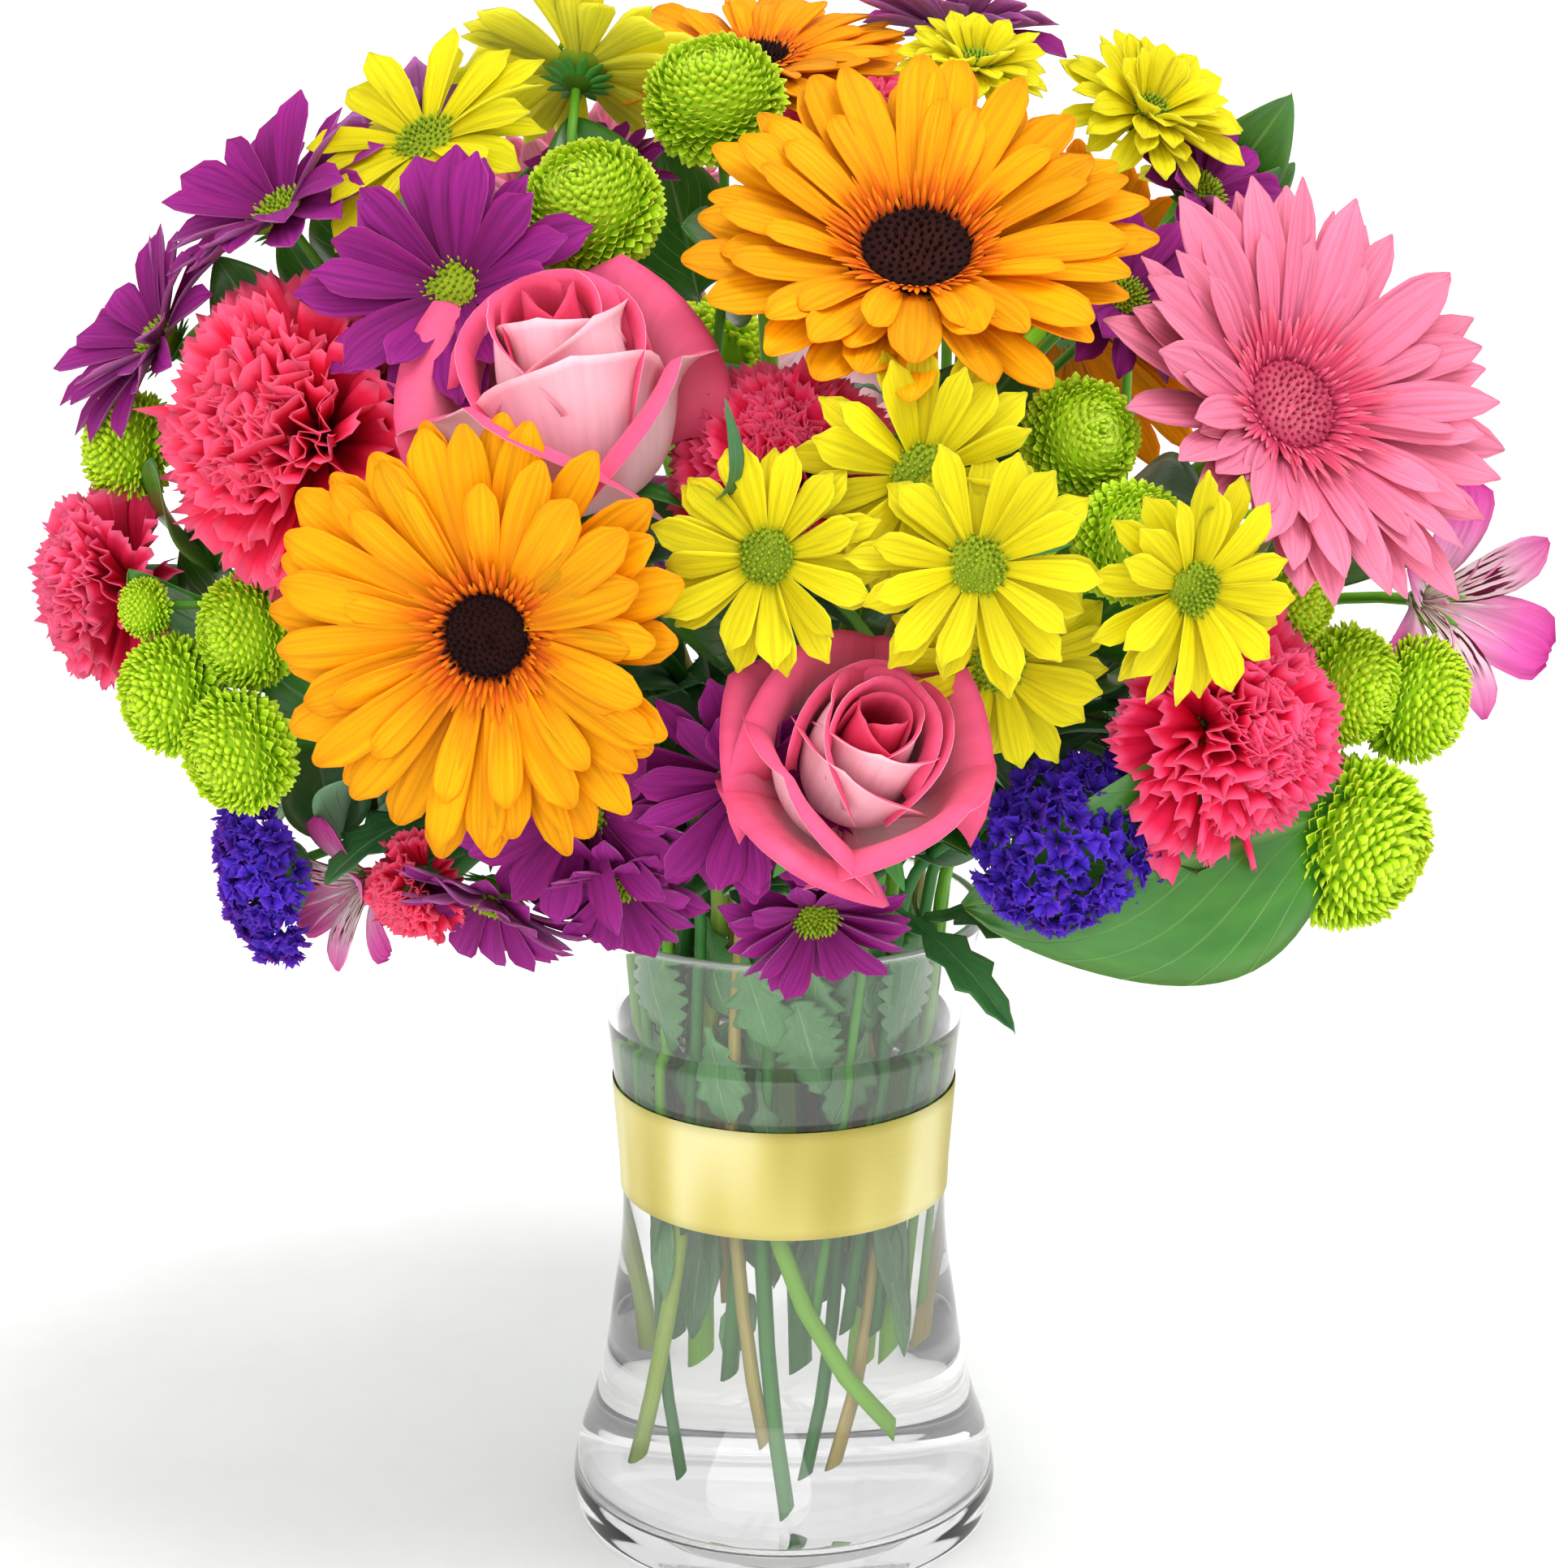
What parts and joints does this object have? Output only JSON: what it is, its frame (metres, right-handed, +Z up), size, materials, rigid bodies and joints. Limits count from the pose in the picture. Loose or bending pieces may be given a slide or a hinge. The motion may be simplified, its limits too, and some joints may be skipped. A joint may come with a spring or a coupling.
{
  "type": "flower bouquet in a vase",
  "caption": "Round mixed bouquet of gerberas, roses, carnations and daisies in a waisted clear glass vase of water with a yellow satin ribbon.",
  "frame": {"origin": "centre of the vase's flat underside, where it stands on a table", "axes": "+Z up, -Y towards the bouquet's front, +X to the right seen from the front"},
  "size_m": [0.3967, 0.3625, 0.4479],
  "materials": {
    "clear_glass": "clear polished glass",
    "water": "clear water",
    "yellow_satin": "pale yellow satin weave",
    "orange_petal": "orange petals",
    "pink_petal": "pink petals",
    "dark_eye": "dark tufted flower centre",
    "rose_petal": "velvety rose petals",
    "carnation_petal": "ruffled carnation petals",
    "crimson_petal": "ruffled crimson petals",
    "yellow_petal": "yellow petals",
    "purple_petal": "purple petals",
    "lime_floret": "lime green florets",
    "violet_statice": "papery violet calyces",
    "lilac_petal": "lilac petals with dark streaks",
    "green_stem": "fresh green stems",
    "green_leaf": "glossy green leaves"
  },
  "bodies": {
    "root": {"alstroemeria_left": "lilac_petal", "alstroemeria_right": "lilac_petal", "button_poms_back": "lime_floret", "button_poms_centre": "lime_floret", "button_poms_left": "lime_floret", "button_poms_right": "lime_floret", "button_poms_top": "lime_floret", "carnation_back_left": "carnation_petal", "carnation_back_top": "crimson_petal", "carnation_far_left": "crimson_petal", "carnation_left_bloom": "carnation_petal", "carnation_left_stem": "green_stem", "carnation_low": "carnation_petal", "carnation_middle": "crimson_petal", "carnation_right_bloom": "carnation_petal", "carnation_right_stem": "green_stem", "gerbera_orange_back_petals": "orange_petal", "gerbera_orange_back_stem": "green_stem", "gerbera_orange_centre_eye": "dark_eye", "gerbera_orange_centre_petals": "orange_petal", "gerbera_orange_centre_stem": "green_stem", "gerbera_orange_left_eye": "dark_eye", "gerbera_orange_left_petals": "orange_petal", "gerbera_orange_left_stem": "green_stem", "gerbera_orange_top_eye": "dark_eye", "gerbera_orange_top_petals": "orange_petal", "gerbera_orange_top_stem": "green_stem", "gerbera_pink_back_petals": "pink_petal", "gerbera_pink_back_stem": "green_stem", "gerbera_pink_right_eye": "dark_eye", "gerbera_pink_right_petals": "pink_petal", "gerbera_pink_right_stem": "green_stem", "glass_vase": "clear_glass", "purple_daisy_back": "purple_petal", "purple_daisy_left": "purple_petal", "purple_daisy_low": "purple_petal", "purple_daisy_right": "purple_petal", "rose_back": "rose_petal", "rose_lower_bloom": "rose_petal", "rose_lower_stem": "green_stem", "rose_upper_bloom": "rose_petal", "rose_upper_stem": "green_stem", "salal_back": "green_leaf", "salal_back_left": "green_leaf", "salal_left": "green_leaf", "salal_right": "green_leaf", "satin_ribbon": "yellow_satin", "statice_back": "violet_statice", "statice_left": "violet_statice", "statice_right": "violet_statice", "water": "water", "yellow_daisy_back": "yellow_petal", "yellow_daisy_front_petals_1": "yellow_petal", "yellow_daisy_front_petals_2": "yellow_petal", "yellow_daisy_front_petals_3": "yellow_petal", "yellow_daisy_front_petals_4": "yellow_petal", "yellow_daisy_front_petals_5": "yellow_petal", "yellow_daisy_front_stems": "green_stem", "yellow_daisy_top_left": "yellow_petal", "yellow_daisy_top_right": "yellow_petal"}
  },
  "joints": []
}
